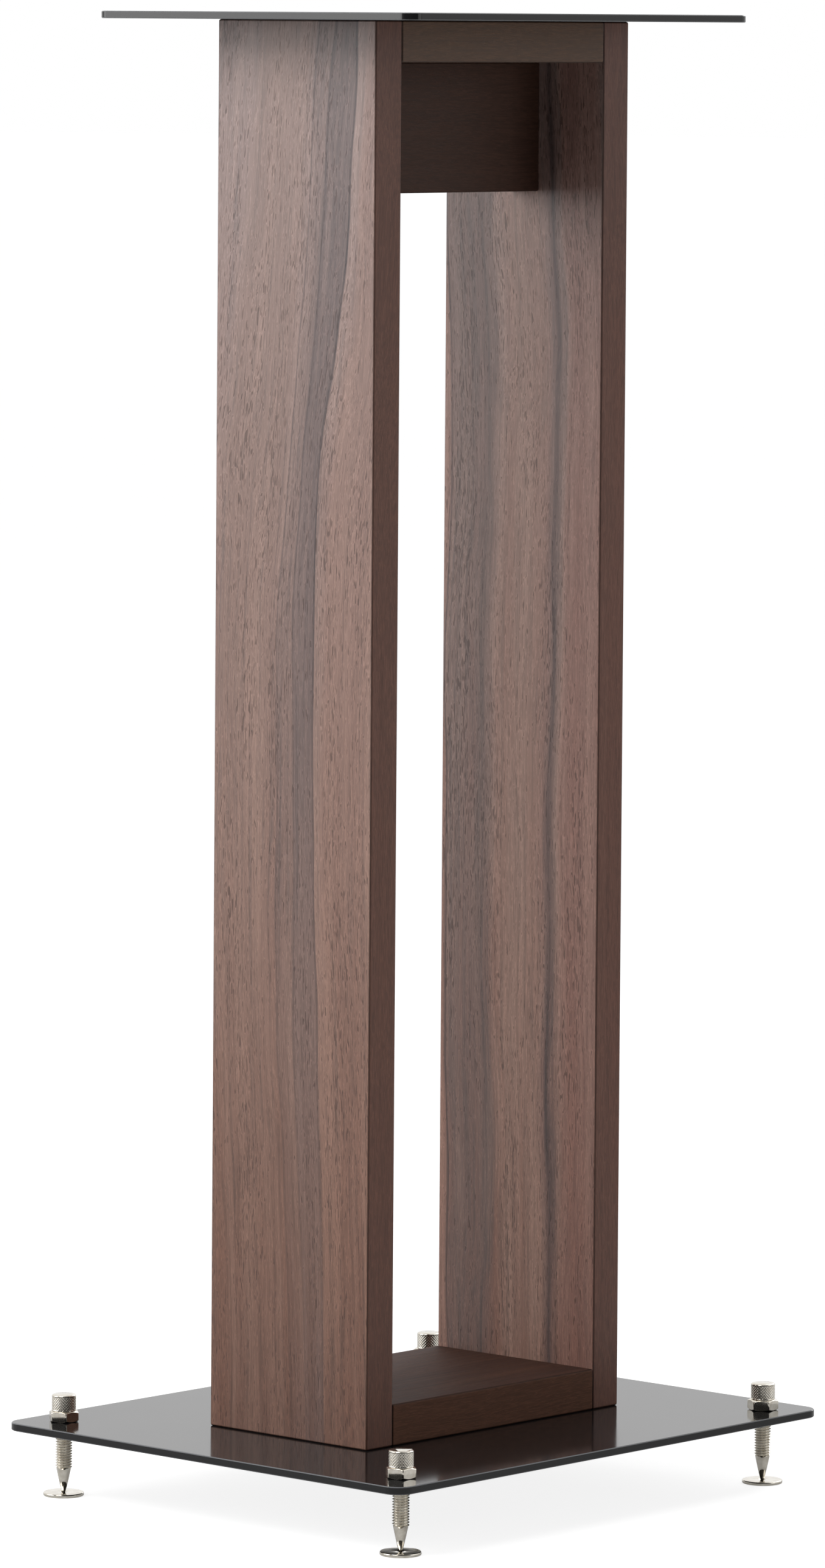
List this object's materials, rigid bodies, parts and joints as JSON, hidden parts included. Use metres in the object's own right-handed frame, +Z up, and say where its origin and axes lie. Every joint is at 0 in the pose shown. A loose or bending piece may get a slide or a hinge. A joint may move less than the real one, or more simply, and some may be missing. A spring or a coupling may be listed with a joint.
{
  "type": "speaker stand",
  "caption": "Speaker stand: black steel top and base plates on an open box column of veneered boards, raised on screwed metal spikes with lock nuts and floor discs.",
  "frame": {"origin": "on the floor, under the middle of the base plate", "axes": "+Z up; X across the two side boards; the open front of the column faces -Y (both open sides are alike)"},
  "size_m": [0.3, 0.252, 0.7],
  "materials": {
    "rosewood_veneer": "satin lacquered open-pore rosewood-walnut veneer",
    "black_coat": "satin black coat, smooth",
    "nickel_plate": "polished nickel plate",
    "beech": "plain beech",
    "brass": "turned",
    "black_oxide_steel": "black oxide"
  },
  "bodies": {
    "stand": {"top_plate": "black_coat", "base_plate": "black_coat", "left_side_board": "rosewood_veneer", "right_side_board": "rosewood_veneer", "top_cross_board": "rosewood_veneer", "bottom_cross_board": "rosewood_veneer", "upper_brace_board": "rosewood_veneer", "top_joint_dowels": "beech", "bottom_joint_dowels": "beech", "brace_joint_dowels": "beech", "top_plate_screws": "black_oxide_steel", "base_plate_screws": "black_oxide_steel", "top_board_inserts": "brass", "bottom_board_inserts": "brass"},
    "floor_disc_front_left": {"floor_disc_front_left": "nickel_plate"},
    "spike_front_left": {"spike_front_left": "nickel_plate"},
    "lock_nut_front_left": {"lock_nut_front_left": "nickel_plate"},
    "floor_disc_front_right": {"floor_disc_front_right": "nickel_plate"},
    "spike_front_right": {"spike_front_right": "nickel_plate"},
    "lock_nut_front_right": {"lock_nut_front_right": "nickel_plate"},
    "floor_disc_rear_left": {"floor_disc_rear_left": "nickel_plate"},
    "spike_rear_left": {"spike_rear_left": "nickel_plate"},
    "lock_nut_rear_left": {"lock_nut_rear_left": "nickel_plate"},
    "floor_disc_rear_right": {"floor_disc_rear_right": "nickel_plate"},
    "spike_rear_right": {"spike_rear_right": "nickel_plate"},
    "lock_nut_rear_right": {"lock_nut_rear_right": "nickel_plate"}
  },
  "joints": [
    {"name": "floor_disc_front_left_slide", "type": "slide", "parent": "stand", "child": "floor_disc_front_left", "axis": [0, 0, 1], "range_m": [0, 0.015]},
    {"name": "spike_front_left_turn", "type": "hinge", "parent": "floor_disc_front_left", "child": "spike_front_left", "pos_m": [-0.1285, -0.1075, 0.0352], "axis": [0, 0, 1], "range_deg": [0, 4320]},
    {"name": "lock_nut_front_left_turn", "type": "hinge", "parent": "stand", "child": "lock_nut_front_left", "pos_m": [-0.1285, -0.1075, 0.0352], "axis": [0, 0, 1], "continuous": true},
    {"name": "floor_disc_front_right_slide", "type": "slide", "parent": "stand", "child": "floor_disc_front_right", "axis": [0, 0, 1], "range_m": [0, 0.015]},
    {"name": "spike_front_right_turn", "type": "hinge", "parent": "floor_disc_front_right", "child": "spike_front_right", "pos_m": [0.1285, -0.1075, 0.0352], "axis": [0, 0, 1], "range_deg": [0, 4320]},
    {"name": "lock_nut_front_right_turn", "type": "hinge", "parent": "stand", "child": "lock_nut_front_right", "pos_m": [0.1285, -0.1075, 0.0352], "axis": [0, 0, 1], "continuous": true},
    {"name": "floor_disc_rear_left_slide", "type": "slide", "parent": "stand", "child": "floor_disc_rear_left", "axis": [0, 0, 1], "range_m": [0, 0.015]},
    {"name": "spike_rear_left_turn", "type": "hinge", "parent": "floor_disc_rear_left", "child": "spike_rear_left", "pos_m": [-0.1285, 0.1075, 0.0352], "axis": [0, 0, 1], "range_deg": [0, 4320]},
    {"name": "lock_nut_rear_left_turn", "type": "hinge", "parent": "stand", "child": "lock_nut_rear_left", "pos_m": [-0.1285, 0.1075, 0.0352], "axis": [0, 0, 1], "continuous": true},
    {"name": "floor_disc_rear_right_slide", "type": "slide", "parent": "stand", "child": "floor_disc_rear_right", "axis": [0, 0, 1], "range_m": [0, 0.015]},
    {"name": "spike_rear_right_turn", "type": "hinge", "parent": "floor_disc_rear_right", "child": "spike_rear_right", "pos_m": [0.1285, 0.1075, 0.0352], "axis": [0, 0, 1], "range_deg": [0, 4320]},
    {"name": "lock_nut_rear_right_turn", "type": "hinge", "parent": "stand", "child": "lock_nut_rear_right", "pos_m": [0.1285, 0.1075, 0.0352], "axis": [0, 0, 1], "continuous": true}
  ],
  "couplings": [
    {"joint": "spike_front_left_turn", "follows": "floor_disc_front_left_slide", "rad_per_m": 5026.5},
    {"joint": "spike_front_right_turn", "follows": "floor_disc_front_right_slide", "rad_per_m": 5026.5},
    {"joint": "spike_rear_left_turn", "follows": "floor_disc_rear_left_slide", "rad_per_m": 5026.5},
    {"joint": "spike_rear_right_turn", "follows": "floor_disc_rear_right_slide", "rad_per_m": 5026.5}
  ]
}
